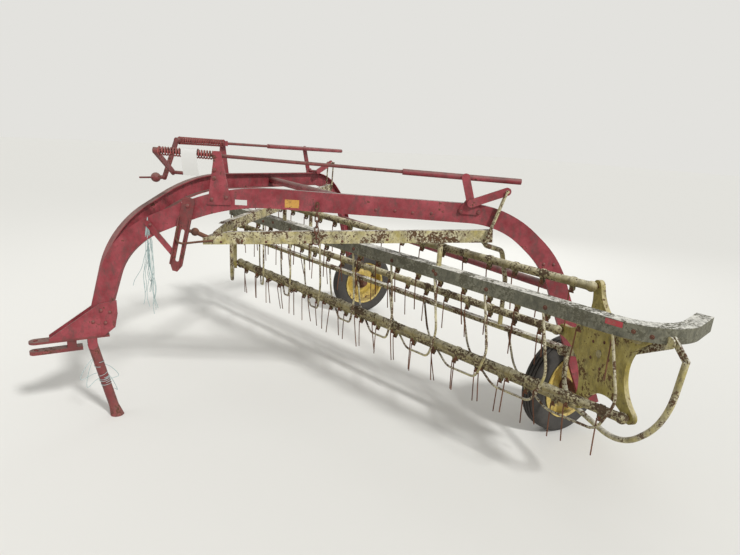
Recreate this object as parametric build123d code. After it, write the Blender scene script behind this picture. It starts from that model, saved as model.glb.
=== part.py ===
"""Oblique reel bar rake: two arched channels on two wheels carry a basket of five tooth bars.

Millimetres and degrees. X points forward to the drawbar, Y to the left, Z up from the ground.
The axle line is X = 0 while the pieces are made. The whole rake is then moved so that the
origin lies on the ground under its middle.
"""
from build123d import *
from math import atan2, cos, degrees, hypot, radians, sin
import os

os.makedirs("parts", exist_ok=True)

# Wheels
TYRE_RADIUS = 322.5
TYRE_WIDTH = 134
BEAD_RADIUS = 203
RIM_WALL = 5
WHEEL_Y = 1345
SPINDLE_RADIUS = 19
HUB_RADIUS = 44
HUB_LENGTH = 120
RUNNING_FIT = 0.05

# Arched channels: the two stand in upright planes that meet at the hitch
APEX_X = 2658
SPLAY = 30.1
ARCH_DEPTH = 112
ARCH_FLANGE = 45
ARCH_WALL = 6
# distance back along the plane, height, bend radius, on the channel's centre line
ARCH_ROWS = (
    (40, 640, 0),
    (172, 1067, 460),
    (340, 1226, 600),
    (830, 1445, 1200),
    (2428, 1412, 560),
    (2733, 1150, 600),
    (3099, 258, 0),
)
BRACE_RADIUS = 26
FRONT_BRACE_X, FRONT_BRACE_Z = 1210, 1426
REAR_BRACE_X, REAR_BRACE_Z = 250, 1000

# Hitch
TONGUE_TIP_X = 2985
TONGUE_REAR_X = 2560
TONGUE_UNDERSIDE_Z = 545
TONGUE_THICKNESS = 14
TONGUE_HALF_WIDTH = 38
STRAP_GAP = 45
STRAP_THICKNESS = 22
STRAP_REAR_X = 2708
STRAP_HALF_WIDTH = 30
HITCH_PIN_X = 2950
HITCH_HOLE_RADIUS = 13
HITCH_PLATE = 8
HITCH_BEND_S = 60
SPACER_X, SPACER_LENGTH = 2765, 50

# Parking stand
STAND_PIVOT_X, STAND_PIVOT_Z = 2655, 498
STAND_FOOT_X = 2544
STAND_RADIUS = 28
STAND_WALL = 5
STAND_PIN_RADIUS = 10
STAND_FOOT_RADIUS = 44
STAND_EAR_GAP = 1.5
STAND_EAR = 8

# Lift gear on the arches. Offsets are measured outwards from the outer face of a channel's web.
ROD_RADIUS = 10
SLEEVE_RADIUS = 17
ROD_OFFSET = -20
SPRING_RADIUS = 26
SPRING_PITCH = 11.5
BLOCK = 36
GUIDE_PLATE = 8
# side, rod front s, guide block s, sleeve front s, sleeve rear s, front z, rear z
ROD_ROWS = (
    (1, 430, 775, 1824, 2503, 1674, 1610),
    (-1, 690, 1120, 1610, 2694, 1722, 1665),
)
PIVOT_RADIUS = 9
BELL_PLATE = 10
BELL_SHAFT_RADIUS = 12
BELL_WIDTH = 46
# side, pivot s and z, upper end s, lower end s and z, upper plate offset, lower plate offset,
# link end s and z, half the distance between the link's rods
BELL_ROWS = (
    (1, 2222, 1478, 2180, 2418, 1554, 14, 25, 2335, 1290, 13),
    (-1, 2213, 1486, 2150, 2418, 1560, 12, -95, 2400, 1335, 30),
)
LINK_RADIUS = 6

# Hanger under the left arch that takes the front of the basket
HANGER_TOP_S, HANGER_TOP_Z = 612, 1392
HANGER_TIP_S, HANGER_TIP_Z = 522, 985
HANGER_WIDTH = 72
HANGER_WALL = 7
HANGER_LIP = 22
HANGER_SLOT = 22

# Draft arms that carry the basket
ARM_NOSE_LENGTH = 150
ARM_NOSE_DROP = 34
ARM_DEPTH = 72
ARM_WIDTH = 40
ARM_WALL = 6
ARM_OFFSET = -10
LEFT_ARM_FRONT_S, LEFT_ARM_FRONT_Z = 690, 1190
RIGHT_ARM_DEPTH = 60
RIGHT_ARM_FRONT_Z = 1222
RIGHT_ARM_OFFSET = -90

# Reel: bars run along BAR from the left head's centre, and the heads turn about SPIN
HEAD_X, HEAD_Y, HEAD_Z = 427, 1839, 776
BAR_ANGLE = 15.04
BAR_RISE = 0.035
HEAD_ANGLE = 17.46
BAR_LENGTH = 3350
CRANK_RADIUS = 355
BAR_COUNT = 5
FIRST_BAR_ANGLE = -37.2
BAR_RADIUS = 24
BAR_END_RADIUS = 30
JOURNAL_RADIUS = 12
FAR_JOURNAL_PLAY = 1.5
HEAD_GAP = 5
HEAD_PLATE = 6
HEAD_RIM = 20
HEAD_NOTCH_RADIUS = 213
HEAD_NOTCH_CENTRE = 420
HEAD_LOBE_RADIUS = 34
HEAD_HUB_RADIUS = 52
HEAD_SHAFT_RADIUS = 20
END_FRAME_GAP = 6
END_FRAME_PLATE = 8
END_FRAME_WIDTH = 56

# Teeth
TOOTH_START = 100
TOOTH_PITCH = 175
TOOTH_COUNT = 19
TOOTH_REACH = 255
TOOTH_WIRE = 7
TOOTH_COIL_RADIUS = 17
TOOTH_COIL_LENGTH = 22
TOOTH_CLAMP = 30

# Basket structure, measured from the reel's centre line: forward f, along t, up z
BEAM_FRONT = 246
BEAM_TOP = 293
BEAM_HEIGHT = 75
BEAM_FLANGE = 78
BEAM_LIP = 16
BEAM_WALL = 6
BEAM_FAR_T = 3134
BUMPER_T = -450
BUMPER_RADIUS = 300
BUMPER_REACH = 496
RAIL_BACK = 280
RAIL_TOP = -120
RAIL_WIDTH = 46
RAIL_HEIGHT = 44
RAIL_WALL = 6
RAIL_NEAR_T, RAIL_FAR_T = 225, 3990
STRIPPER_START = 215
STRIPPER_PITCH = 350
STRIPPER_COUNT = 9
STRIPPER_RADIUS = 7
# in the plane of the heads: across h and up z from the reel's centre line, bend radius
STRIPPER_ROWS = (
    (545, -90, 120),
    (440, -292, 160),
    (0, -408, 300),
    (-405, -332, 180),
)
GUARD_RADIUS = 15
LEFT_GUARD_OFFSET = 100
RIGHT_GUARD_OFFSET = 76
# across h, up z, bend radius, from the head's centre
LEFT_GUARD_ROWS = (
    (487, 160, 0),
    (445, -170, 500),
    (190, -430, 370),
    (-353, -415, 150),
)
RIGHT_GUARD_ROWS = (
    (400, 150, 0),
    (430, -160, 450),
    (190, -430, 370),
    (-480, -415, 150),
)
HANGER_TUBE_RADIUS = 15

# Chain that hangs from the left arch
CHAIN_S = 1350
CHAIN_TOP_Z = 1440
CHAIN_WIRE = 7
CHAIN_INNER = 35
CHAIN_LINKS = 6
CHAIN_RING_RADIUS = 20
CHAIN_BOLT_RADIUS = 5

CLEAR = 0.3

LEFT_NORMAL = Vector(sin(radians(SPLAY)), cos(radians(SPLAY)), 0)
LEFT_BACK = Vector(-cos(radians(SPLAY)), sin(radians(SPLAY)), 0)
UP = Vector(0, 0, 1)

nodes = {}


def flip(vector, side):
    """The same vector on the left, side 1, or mirrored to the right, side -1."""
    return Vector(vector.X, side * vector.Y, vector.Z)


def on_arch(side, s, z, offset=0):
    """A point at distance s back along an arch's plane, at height z, offset outwards."""
    point = Vector(APEX_X, 0, z) + LEFT_BACK * s + LEFT_NORMAL * offset
    return flip(point, side)


def arch_plane(side, offset=0):
    """Sketch plane of an arch: x runs back, y up. Its normal points to the machine's left."""
    origin = flip(Vector(APEX_X, 0, 0) + LEFT_NORMAL * offset, side)
    back = flip(LEFT_BACK, side)
    return Plane(origin=origin, x_dir=back, z_dir=back.cross(UP))


def rod(start, end, radius):
    """A round bar between two points."""
    axis = end - start
    return Plane(origin=start, z_dir=axis) * Cylinder(
        radius, axis.length, align=(Align.CENTER, Align.CENTER, Align.MIN)
    )


def tube(start, end, radius, bore):
    """A round bar with a bore along it."""
    return rod(start, end, radius) - rod(start, end, bore)


def strap(plane, a, b, width, thickness):
    """A flat bar with round ends from a to b, both in the plane, thickened along its normal."""
    length = hypot(b[0] - a[0], b[1] - a[1])
    turn = degrees(atan2(b[1] - a[1], b[0] - a[0]))
    middle = Pos((a[0] + b[0]) / 2, (a[1] + b[1]) / 2)
    face = plane * middle * Rot(0, 0, turn) * SlotCenterToCenter(length, width)
    return extrude(face, thickness)


def plate(plane, points, thickness, corner=0):
    """A flat plate of the outline given by points, its corners rounded."""
    face = Polygon(*points, align=None)
    if corner:
        face = fillet(face.vertices(), corner)
    return extrude(plane * face, thickness, dir=plane.z_dir)


def channel_face(depth, flange, wall):
    """A channel's section: web along y at x = 0, flanges towards minus x."""
    outer = Pos(-flange / 2, 0) * Rectangle(flange, depth)
    return outer - Pos(-(flange + wall) / 2, 0) * Rectangle(flange - wall, depth - 2 * wall)


def channel_bar(start, end, outward, depth, flange, wall):
    """A straight channel whose web faces outward."""
    axis = end - start
    side = outward - axis * (outward.dot(axis) / axis.dot(axis))
    section = Plane(origin=start, x_dir=side, z_dir=axis) * channel_face(depth, flange, wall)
    return extrude(section, axis.length, dir=axis.normalized())


def wire_run(points, radii, radius):
    """A round rod bent along points, with one radius for each bend."""
    path = FilletPolyline(*points, radius=list(radii)) if radii else Polyline(*points)
    return sweep(Plane(origin=path @ 0, z_dir=path % 0) * Circle(radius), path=path)


def fit(piece, *neighbours):
    """The piece coped to its neighbours, of which the largest solid stays."""
    for neighbour in neighbours:
        piece = piece - neighbour
    return max(piece.solids(), key=lambda solid: solid.volume)


def arm_nose(start, along, depth):
    """The wedge that tapers a draft arm's front end: it cuts away the top edge above the nose."""
    up = (UP - along * along.dot(UP)).normalized()
    plane = Plane(origin=start, x_dir=along, z_dir=along.cross(up))
    low = depth / 2 - ARM_NOSE_DROP
    wedge = Polygon((-5, low), (ARM_NOSE_LENGTH, depth / 2 + 1), (-5, depth / 2 + 1), align=None)
    return extrude(plane * wedge, 200, both=True)


def crossing(p, u, q, v):
    """Where the line from p along u meets the line from q along v, seen from above."""
    t = ((q.X - p.X) * v.Y - (q.Y - p.Y) * v.X) / (u.X * v.Y - u.Y * v.X)
    return p + u * t


# Arched channels, each a bent channel from the hitch over the basket down to its wheel
arches = {}
for side in (1, -1):
    path = FilletPolyline(
        *[on_arch(side, s, z) for s, z, _ in ARCH_ROWS], radius=[r for _, _, r in ARCH_ROWS[1:-1]]
    )
    section = Plane(origin=path @ 0, x_dir=flip(LEFT_NORMAL, side), z_dir=path % 0)
    arch = sweep(section * channel_face(ARCH_DEPTH, ARCH_FLANGE, ARCH_WALL), path=path)
    middle = Pos(APEX_X, -side * (500 - CLEAR / 2), 700) * Box(400, 1000, 1400)
    arches[side] = fit(arch, middle)
    nodes["arch_left" if side == 1 else "arch_right"] = arches[side]

# Cross braces between the arches, ends coped to the webs
front_y = (APEX_X - FRONT_BRACE_X) * LEFT_BACK.Y / -LEFT_BACK.X
nodes["brace_tube_front"] = fit(
    rod(
        Vector(FRONT_BRACE_X, -front_y, FRONT_BRACE_Z),
        Vector(FRONT_BRACE_X, front_y, FRONT_BRACE_Z),
        BRACE_RADIUS,
    ),
    *arches.values(),
)
rear_y = (APEX_X - REAR_BRACE_X) * LEFT_BACK.Y / -LEFT_BACK.X
nodes["brace_tube_rear"] = fit(
    rod(
        Vector(REAR_BRACE_X, -rear_y, REAR_BRACE_Z),
        Vector(REAR_BRACE_X, rear_y, REAR_BRACE_Z),
        BRACE_RADIUS,
    ),
    *arches.values(),
)

# Hitch: bent side plates on the feet of the arches, tongue, spacer and lower strap
tongue_top = TONGUE_UNDERSIDE_Z + TONGUE_THICKNESS
bend_x = on_arch(1, HITCH_BEND_S, 0).X
bend_y = on_arch(1, HITCH_BEND_S, 0).Y
rear_wing = plate(
    arch_plane(1),
    [(HITCH_BEND_S, tongue_top), (85, tongue_top), (150, 615), (168, 700), (166, 786), (HITCH_BEND_S, 757)],
    HITCH_PLATE,
)
side_plane = Plane(origin=(0, bend_y, 0), x_dir=(-1, 0, 0), z_dir=(0, 1, 0))
front_wing = plate(
    side_plane,
    [(-bend_x, tongue_top), (-2880, tongue_top), (-2880, 574), (-2640, 735), (-bend_x, 757)],
    HITCH_PLATE,
)
hitch_plate = fit(rear_wing + front_wing)
nodes["hitch_plate_left"] = hitch_plate
nodes["hitch_plate_right"] = mirror(hitch_plate, about=Plane.XZ)

tip_x = TONGUE_TIP_X - TONGUE_HALF_WIDTH
tongue_length = tip_x - TONGUE_REAR_X
tongue_face = Pos(TONGUE_REAR_X + tongue_length / 2, 0) * Rectangle(tongue_length, 2 * TONGUE_HALF_WIDTH)
tongue_face += Pos(tip_x, 0) * Circle(TONGUE_HALF_WIDTH)
tongue_face -= Pos(HITCH_PIN_X, 0) * Circle(HITCH_HOLE_RADIUS)
nodes["tongue"] = extrude(Plane.XY.offset(TONGUE_UNDERSIDE_Z) * tongue_face, TONGUE_THICKNESS)

strap_top = TONGUE_UNDERSIDE_Z - STRAP_GAP
strap_tip_x = TONGUE_TIP_X - STRAP_HALF_WIDTH
strap_length = strap_tip_x - STRAP_REAR_X
strap_face = Pos(STRAP_REAR_X + strap_length / 2, 0) * Rectangle(strap_length, 2 * STRAP_HALF_WIDTH)
strap_face += Pos(strap_tip_x, 0) * Circle(STRAP_HALF_WIDTH)
strap_face -= Pos(HITCH_PIN_X, 0) * Circle(HITCH_HOLE_RADIUS)
nodes["drawbar_strap"] = extrude(Plane.XY.offset(strap_top - STRAP_THICKNESS) * strap_face, STRAP_THICKNESS)
nodes["drawbar_spacer"] = Pos(SPACER_X, 0, strap_top) * Box(
    SPACER_LENGTH, 2 * STRAP_HALF_WIDTH, STRAP_GAP, align=(Align.CENTER, Align.CENTER, Align.MIN)
)

# Parking stand: a tube on a cross pin between two ears under the tongue
pivot = Vector(STAND_PIVOT_X, 0, STAND_PIVOT_Z)
foot = Vector(STAND_FOOT_X, 0, 0)
lean = (foot - pivot).normalized()
ear_y = STAND_RADIUS + STAND_EAR_GAP
ears = []
for side in (1, -1):
    ear_plane = Plane(origin=(0, side * ear_y, 0), x_dir=(-side, 0, 0), z_dir=(0, side, 0))
    x = -side * STAND_PIVOT_X
    face = Pos(x, STAND_PIVOT_Z) * Circle(26)
    ear_height = TONGUE_UNDERSIDE_Z - STAND_PIVOT_Z
    face += Pos(x, STAND_PIVOT_Z + ear_height / 2) * Rectangle(52, ear_height)
    ears.append(extrude(ear_plane * face, STAND_EAR))
pin_half = Vector(0, ear_y + STAND_EAR, 0)
stand_pin = rod(pivot - pin_half, pivot + pin_half, STAND_PIN_RADIUS - RUNNING_FIT)
nodes["stand_bracket"] = fit(ears[0] + ears[1] + stand_pin)
stand = rod(pivot - lean * 4, foot + lean * 30, STAND_RADIUS)
eye_half = Vector(0, STAND_RADIUS, 0)
stand += rod(pivot - eye_half, pivot + eye_half, STAND_PIN_RADIUS + 12)
stand += Plane(origin=foot - lean * 70, z_dir=lean) * Cone(
    STAND_RADIUS, STAND_FOOT_RADIUS, 100, align=(Align.CENTER, Align.CENTER, Align.MIN)
)
stand -= rod(pivot - pin_half, pivot + pin_half, STAND_PIN_RADIUS)
stand -= rod(pivot + lean * 60, foot + lean * 60, STAND_RADIUS - STAND_WALL)
nodes["parking_stand"] = fit(stand, Pos(STAND_FOOT_X, 0, -100) * Box(400, 200, 200))

# Lift gear: threaded rod, spring, guide block on its plate, sleeve, crank
rod_lines = {}
for side, front_s, block_s, sleeve_s, rear_s, front_z, rear_z in ROD_ROWS:
    name = "left" if side == 1 else "right"
    slope = (rear_z - front_z) / (rear_s - front_s)
    front = on_arch(side, front_s, front_z, ROD_OFFSET)
    rear = on_arch(side, rear_s, rear_z, ROD_OFFSET)
    along = (rear - front).normalized()
    rod_lines[side] = (front_s, front_z, slope)

    def rod_point(s):
        """A point of the rod's axis at distance s back along the arch."""
        return on_arch(side, s, front_z + slope * (s - front_s), ROD_OFFSET)

    nodes["lift_rod_" + name] = rod(front, rod_point(sleeve_s + 120), ROD_RADIUS)
    nodes["lift_sleeve_" + name] = tube(rod_point(sleeve_s), rear, SLEEVE_RADIUS, ROD_RADIUS + CLEAR)

    spring_front = rod_point(front_s + 22)
    spring_length = (rod_point(block_s) - spring_front).length - BLOCK / 2 - CLEAR
    turns = round(spring_length / SPRING_PITCH)
    pitch = spring_length / turns
    outline = [(ROD_RADIUS + 6, 0)]
    for turn in range(turns):
        outline += [(SPRING_RADIUS - 4, turn * pitch), (SPRING_RADIUS, (turn + 0.5) * pitch)]
    outline += [(SPRING_RADIUS - 4, spring_length), (ROD_RADIUS + 6, spring_length)]
    profile = Plane.XZ * make_face(Polyline(*outline, close=True))
    nodes["lift_spring_" + name] = Plane(origin=spring_front, z_dir=along) * revolve(profile, Axis.Z)

    block_plane = Plane(origin=rod_point(block_s), x_dir=flip(LEFT_NORMAL, side), z_dir=along)
    block_z = front_z + slope * (block_s - front_s)
    guide = plate(
        arch_plane(side),
        [
            (block_s - 56, 1388),
            (block_s + 84, 1392),
            (block_s + 70, 1460),
            (block_s + 26, block_z + 26),
            (block_s - BLOCK / 2, block_z + 26),
            (block_s - BLOCK / 2, block_z - 34),
            (block_s - 46, 1440),
        ],
        side * GUIDE_PLATE,
        8,
    )
    guide += block_plane * Box(BLOCK, BLOCK, BLOCK)
    guide += rod(rod_point(block_s), on_arch(side, block_s, block_z, 1), PIVOT_RADIUS)
    nodes["lift_guide_" + name] = fit(guide, block_plane * Cylinder(ROD_RADIUS + CLEAR, 2 * BLOCK))

    # crank on the rod's front end: collar, flat arm and handle
    normal = flip(LEFT_NORMAL, side)
    reach = UP * -140 - normal * 300 if side == 1 else UP * -250 + normal * 120
    reach = reach - along * reach.dot(along)
    collar = rod(front - along * 14, front + along * 20, ROD_RADIUS + 8)
    collar -= rod(front, front + along * 20, ROD_RADIUS)
    arm_plane = Plane(origin=front - along * 12, x_dir=reach.normalized(), z_dir=along)
    crank = collar + strap(arm_plane, (0, 0), (reach.length, 0), 36, 10)
    handle_start = front + reach
    if side == 1:
        crank += rod(handle_start - along * 12, handle_start + along * 75, 11)
    else:
        crank += rod(handle_start - along * 60, handle_start, 13)
        crank += Pos(*(handle_start - along * 78)) * Sphere(32)
        crank += rod(handle_start - along * 205, handle_start - along * 90, 6)
    nodes["crank_" + name] = fit(crank)

# Bell cranks: two flat arms on one shaft, its bracket, and the pair of link rods to the basket
link_ends = {}
for row in BELL_ROWS:
    side, pivot_s, pivot_z, upper_s, lower_s, lower_z = row[:6]
    upper_off, lower_off, link_s, link_z, spread = row[6:]
    name = "left" if side == 1 else "right"
    front_s, front_z, slope = rod_lines[side]
    upper_z = front_z + slope * (upper_s - front_s)
    upper = strap(
        arch_plane(side, upper_off), (pivot_s, pivot_z), (upper_s, upper_z), BELL_WIDTH, side * BELL_PLATE
    )
    lower = strap(
        arch_plane(side, lower_off), (pivot_s, pivot_z), (lower_s, lower_z), BELL_WIDTH, side * BELL_PLATE
    )
    shaft_inner = on_arch(side, pivot_s, pivot_z, min(0, lower_off))
    shaft_outer = on_arch(side, pivot_s, pivot_z, max(upper_off, lower_off) + BELL_PLATE)
    shaft = rod(shaft_inner, shaft_outer, BELL_SHAFT_RADIUS)
    stud = rod(
        on_arch(side, upper_s, upper_z, ROD_OFFSET + SLEEVE_RADIUS + CLEAR),
        on_arch(side, upper_s, upper_z, upper_off + 1),
        PIVOT_RADIUS,
    )
    nodes["bell_crank_" + name] = fit(upper + lower + shaft + stud)

    bracket = plate(
        arch_plane(side),
        [
            (pivot_s - 64, 1412),
            (pivot_s + 62, 1412),
            (pivot_s + 62, 1440),
            (pivot_s + 22, pivot_z + 22),
            (pivot_s - 22, pivot_z + 22),
            (pivot_s - 64, 1440),
        ],
        side * BELL_PLATE,
        8,
    )
    bearing = rod(
        on_arch(side, pivot_s, pivot_z, -2),
        on_arch(side, pivot_s, pivot_z, BELL_PLATE + 2),
        BELL_SHAFT_RADIUS + CLEAR,
    )
    nodes["bell_bracket_" + name] = fit(bracket, bearing)

    middle = lower_off + BELL_PLATE / 2
    reach = spread + LINK_RADIUS + 3
    arm_centre = ARM_OFFSET if side == 1 else RIGHT_ARM_OFFSET
    link = rod(
        on_arch(side, lower_s, lower_z, middle - reach),
        on_arch(side, lower_s, lower_z, middle + reach),
        PIVOT_RADIUS,
    )
    link += rod(
        on_arch(side, link_s, link_z, min(arm_centre, middle - reach)),
        on_arch(side, link_s, link_z, middle + reach),
        PIVOT_RADIUS,
    )
    for across in (-spread, spread):
        link += rod(
            on_arch(side, lower_s, lower_z, middle + across),
            on_arch(side, link_s, link_z, middle + across),
            LINK_RADIUS,
        )
    link_ends[side] = on_arch(side, link_s, link_z, arm_centre)
    nodes["lift_link_" + name] = fit(link, nodes["bell_crank_" + name])

# Slotted hanger under the left arch, and its flat brace
hanger_top = on_arch(1, HANGER_TOP_S, HANGER_TOP_Z, HANGER_WALL)
hanger_tip = on_arch(1, HANGER_TIP_S, HANGER_TIP_Z, HANGER_WALL)
down = (hanger_tip - hanger_top).normalized()
hanger_length = (hanger_tip - hanger_top).length
hanger_plane = Plane(origin=on_arch(1, HANGER_TOP_S, HANGER_TOP_Z), x_dir=down, z_dir=LEFT_NORMAL)
half = HANGER_WIDTH / 2
hanger_face = Polygon(
    (-30, -half + 14), (-10, -half), (hanger_length - 40, -half), (hanger_length, -half + 22),
    (hanger_length, half - 22), (hanger_length - 40, half), (-10, half), (-30, half - 14), align=None,
)
hanger_face -= Pos(hanger_length * 0.62, 0) * SlotCenterToCenter(hanger_length * 0.42, HANGER_SLOT)
hanger = extrude(hanger_plane * hanger_face, HANGER_WALL)
for edge in (-1, 1):
    lip_middle = Pos(hanger_length / 2 + 25, edge * (half - HANGER_WALL / 2))
    lip = lip_middle * Rectangle(hanger_length - 130, HANGER_WALL)
    hanger += extrude(hanger_plane * lip, HANGER_LIP)
nodes["hanger"] = fit(hanger)
nodes["hanger_brace"] = fit(strap(arch_plane(1), (372, 1262), (520, 1085), 32, 8), nodes["hanger"])

# Draft arms: the left one runs under its arch, the right one crosses to the other side
left_arm_start = on_arch(1, LEFT_ARM_FRONT_S, LEFT_ARM_FRONT_Z, ARM_OFFSET + ARM_WIDTH / 2)
left_arm_end = link_ends[1] + LEFT_NORMAL * ARM_WIDTH / 2
left_along = (left_arm_end - left_arm_start).normalized()
left_arm = channel_bar(
    left_arm_start, left_arm_end + left_along * 34, LEFT_NORMAL, ARM_DEPTH, ARM_WIDTH, ARM_WALL
)
right_arm_start = Vector(left_arm_start.X - 60, left_arm_start.Y - ARM_WIDTH, RIGHT_ARM_FRONT_Z)
right_along = (link_ends[-1] - right_arm_start).normalized()
right_out = UP.cross(right_along) * -1
right_arm_end = link_ends[-1] + right_along * 30
right_arm = channel_bar(
    right_arm_start + right_out * ARM_WIDTH / 2,
    right_arm_end + right_out * ARM_WIDTH / 2,
    right_out,
    RIGHT_ARM_DEPTH,
    ARM_WIDTH,
    ARM_WALL,
)
left_arm -= arm_nose(left_arm_start, left_along, ARM_DEPTH)
right_arm -= arm_nose(right_arm_start, right_along, RIGHT_ARM_DEPTH)
nodes["draft_arm_left"] = fit(left_arm, nodes["lift_link_left"])
nodes["draft_arm_right"] = fit(right_arm, left_arm, nodes["lift_link_right"])

# Ball end that hangs the arms from the hanger's slot
ball = on_arch(1, 640, 1222, -16)
stud_end = on_arch(1, 577, 1236, HANGER_WALL + 14)
arm_eye = left_arm_start - LEFT_NORMAL * ARM_WIDTH / 2
draft_pivot = Pos(*ball) * Sphere(24) + rod(ball, arm_eye + left_along * 30, 13) + rod(ball, stud_end, 10)
draft_pivot += rod(stud_end - LEFT_NORMAL * 8, stud_end + LEFT_NORMAL * 12, 19)
nodes["draft_pivot"] = fit(draft_pivot, nodes["hanger"], left_arm, right_arm)

# Wheels: spindle in the foot of each arch, hub, rim with dished disc, tyre
for side in (1, -1):
    name = "left" if side == 1 else "right"
    out_y = (APEX_X * LEFT_BACK.Y / -LEFT_BACK.X) + 8
    inner_y = WHEEL_Y - HUB_LENGTH / 2 - 14
    shoulder_y = WHEEL_Y + HUB_LENGTH / 2 + 2
    outer_end = Vector(0, side * out_y, TYRE_RADIUS)
    inner_end = Vector(0, side * inner_y, TYRE_RADIUS)
    spindle = rod(outer_end, inner_end, SPINDLE_RADIUS - RUNNING_FIT)
    spindle += rod(outer_end, Vector(0, side * shoulder_y, TYRE_RADIUS), 30)
    spindle += rod(inner_end, inner_end + Vector(0, side * 10, 0), 26)
    nodes["spindle_" + name] = fit(spindle, arches[side])
    axle = Plane(origin=(0, side * WHEEL_Y, TYRE_RADIUS), x_dir=(0, 0, 1), z_dir=(0, side, 0))
    half = TYRE_WIDTH / 2
    tyre_points = [
        (BEAD_RADIUS + CLEAR, -half + 16),
        (BEAD_RADIUS + 40, -half + 2),
        (BEAD_RADIUS + 70, -half),
        (TYRE_RADIUS - 22, -half + 6),
        (TYRE_RADIUS - 7, -half + 18),
        (TYRE_RADIUS, -half + 36),
    ]
    tyre_points += [(r, -z) for r, z in reversed(tyre_points)]
    profile = Plane.XZ * make_face(Polyline(*tyre_points, close=True))
    nodes["tyre_" + name] = axle * revolve(profile, Axis.Z)
    rim_points = [
        (BEAD_RADIUS + 12, -half + 4),
        (BEAD_RADIUS + 12, -half + 9),
        (BEAD_RADIUS, -half + 15),
        (BEAD_RADIUS, half - 15),
        (BEAD_RADIUS + 12, half - 9),
        (BEAD_RADIUS + 12, half - 4),
        (BEAD_RADIUS - RIM_WALL, half - 10),
        (BEAD_RADIUS - RIM_WALL, 28),
        (150, 34),
        (110, 16),
        (HUB_RADIUS, 12),
        (HUB_RADIUS, 6),
        (112, 10),
        (152, 28),
        (BEAD_RADIUS - RIM_WALL, 20),
        (BEAD_RADIUS - RIM_WALL, -half + 10),
    ]
    profile = Plane.XZ * make_face(Polyline(*rim_points, close=True))
    nodes["rim_" + name] = axle * revolve(profile, Axis.Z)
    hub_points = [
        (SPINDLE_RADIUS, -HUB_LENGTH / 2),
        (HUB_RADIUS - 10, -HUB_LENGTH / 2),
        (HUB_RADIUS - 10, -6),
        (HUB_RADIUS + 24, -6),
        (HUB_RADIUS + 24, 5.7),
        (HUB_RADIUS - CLEAR, 6.0),
        (HUB_RADIUS - CLEAR, 24),
        (HUB_RADIUS - 14, HUB_LENGTH / 2),
        (SPINDLE_RADIUS, HUB_LENGTH / 2),
    ]
    profile = Plane.XZ * make_face(Polyline(*hub_points, close=True))
    nodes["hub_" + name] = axle * revolve(profile, Axis.Z)

# Reel directions: BAR along the tooth bars, ACROSS and SPIN for the planes of the heads
BAR = Vector(sin(radians(BAR_ANGLE)), -cos(radians(BAR_ANGLE)), BAR_RISE).normalized()
FORWARD = Vector(-BAR.Y, BAR.X, 0).normalized()
ACROSS = Vector(sin(radians(HEAD_ANGLE)), cos(radians(HEAD_ANGLE)), 0)
SPIN = Vector(cos(radians(HEAD_ANGLE)), -sin(radians(HEAD_ANGLE)), 0)
LEFT_HEAD = Vector(HEAD_X, HEAD_Y, HEAD_Z)
RIGHT_HEAD = LEFT_HEAD + BAR * BAR_LENGTH


def head_plane(origin, offset=0):
    """Sketch plane of a reel head: x across, y up, normal along the reel's axis of turning."""
    return Plane(origin=origin + SPIN * offset, x_dir=ACROSS, z_dir=SPIN)


def in_head(origin, h, z, offset=0):
    """A point across h and up z from a point of the reel's centre line."""
    return origin + ACROSS * h + UP * z + SPIN * offset


def in_basket(t, f, z):
    """A point t along the bars, f forward of the reel's centre line and z above it."""
    return LEFT_HEAD + BAR * t + FORWARD * f + UP * z


# Front beam: a bent channel that wraps round the left end as a bumper
beam_path = FilletPolyline(
    in_basket(BEAM_FAR_T, BEAM_FRONT, BEAM_TOP),
    in_basket(BUMPER_T, BEAM_FRONT, BEAM_TOP),
    in_basket(BUMPER_T, BEAM_FRONT - BUMPER_REACH, BEAM_TOP),
    radius=BUMPER_RADIUS,
)
beam_face = Pos(-BEAM_FLANGE / 2, -BEAM_WALL / 2) * Rectangle(BEAM_FLANGE, BEAM_WALL)
beam_face += Pos(-BEAM_WALL / 2, -BEAM_HEIGHT / 2) * Rectangle(BEAM_WALL, BEAM_HEIGHT)
beam_face += Pos(-BEAM_LIP / 2, BEAM_WALL / 2 - BEAM_HEIGHT) * Rectangle(BEAM_LIP, BEAM_WALL)
beam_start = Plane(origin=beam_path @ 0, x_dir=FORWARD, z_dir=beam_path % 0)
if beam_start.y_dir.Z < 0:
    beam_face = mirror(beam_face, about=Plane.XZ)
beam = sweep(beam_start * beam_face, path=beam_path)
nodes["front_beam"] = beam

# Rear rail: an angle along the back of the basket
rail_plane = Plane(origin=in_basket(RAIL_NEAR_T, -RAIL_BACK, RAIL_TOP), x_dir=FORWARD, z_dir=BAR)
rail_up = 1 if rail_plane.y_dir.Z > 0 else -1
rail_face = Pos(0, -rail_up * RAIL_WALL / 2) * Rectangle(RAIL_WIDTH, RAIL_WALL)
rail_leg = Pos(-(RAIL_WIDTH - RAIL_WALL) / 2, -rail_up * RAIL_HEIGHT / 2)
rail_face += rail_leg * Rectangle(RAIL_WALL, RAIL_HEIGHT)
rail = extrude(rail_plane * rail_face, RAIL_FAR_T - RAIL_NEAR_T)
nodes["rear_rail"] = rail

# Strippers: bent rods from the beam under the reel to the rail
across_forward = ACROSS.dot(FORWARD)
top_h = (BEAM_FRONT - BEAM_LIP / 2) / across_forward
rail_h = -RAIL_BACK / across_forward
strippers = []
for index in range(STRIPPER_COUNT):
    station = LEFT_HEAD + BAR * (STRIPPER_START + index * STRIPPER_PITCH)
    points = [in_head(station, top_h, BEAM_TOP - BEAM_HEIGHT - 6)]
    points += [in_head(station, h, z) for h, z, _ in STRIPPER_ROWS]
    points += [in_head(station, rail_h, RAIL_TOP - 20)]
    stripper = wire_run(points, [row[2] for row in STRIPPER_ROWS], STRIPPER_RADIUS)
    strippers.append(stripper)

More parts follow.
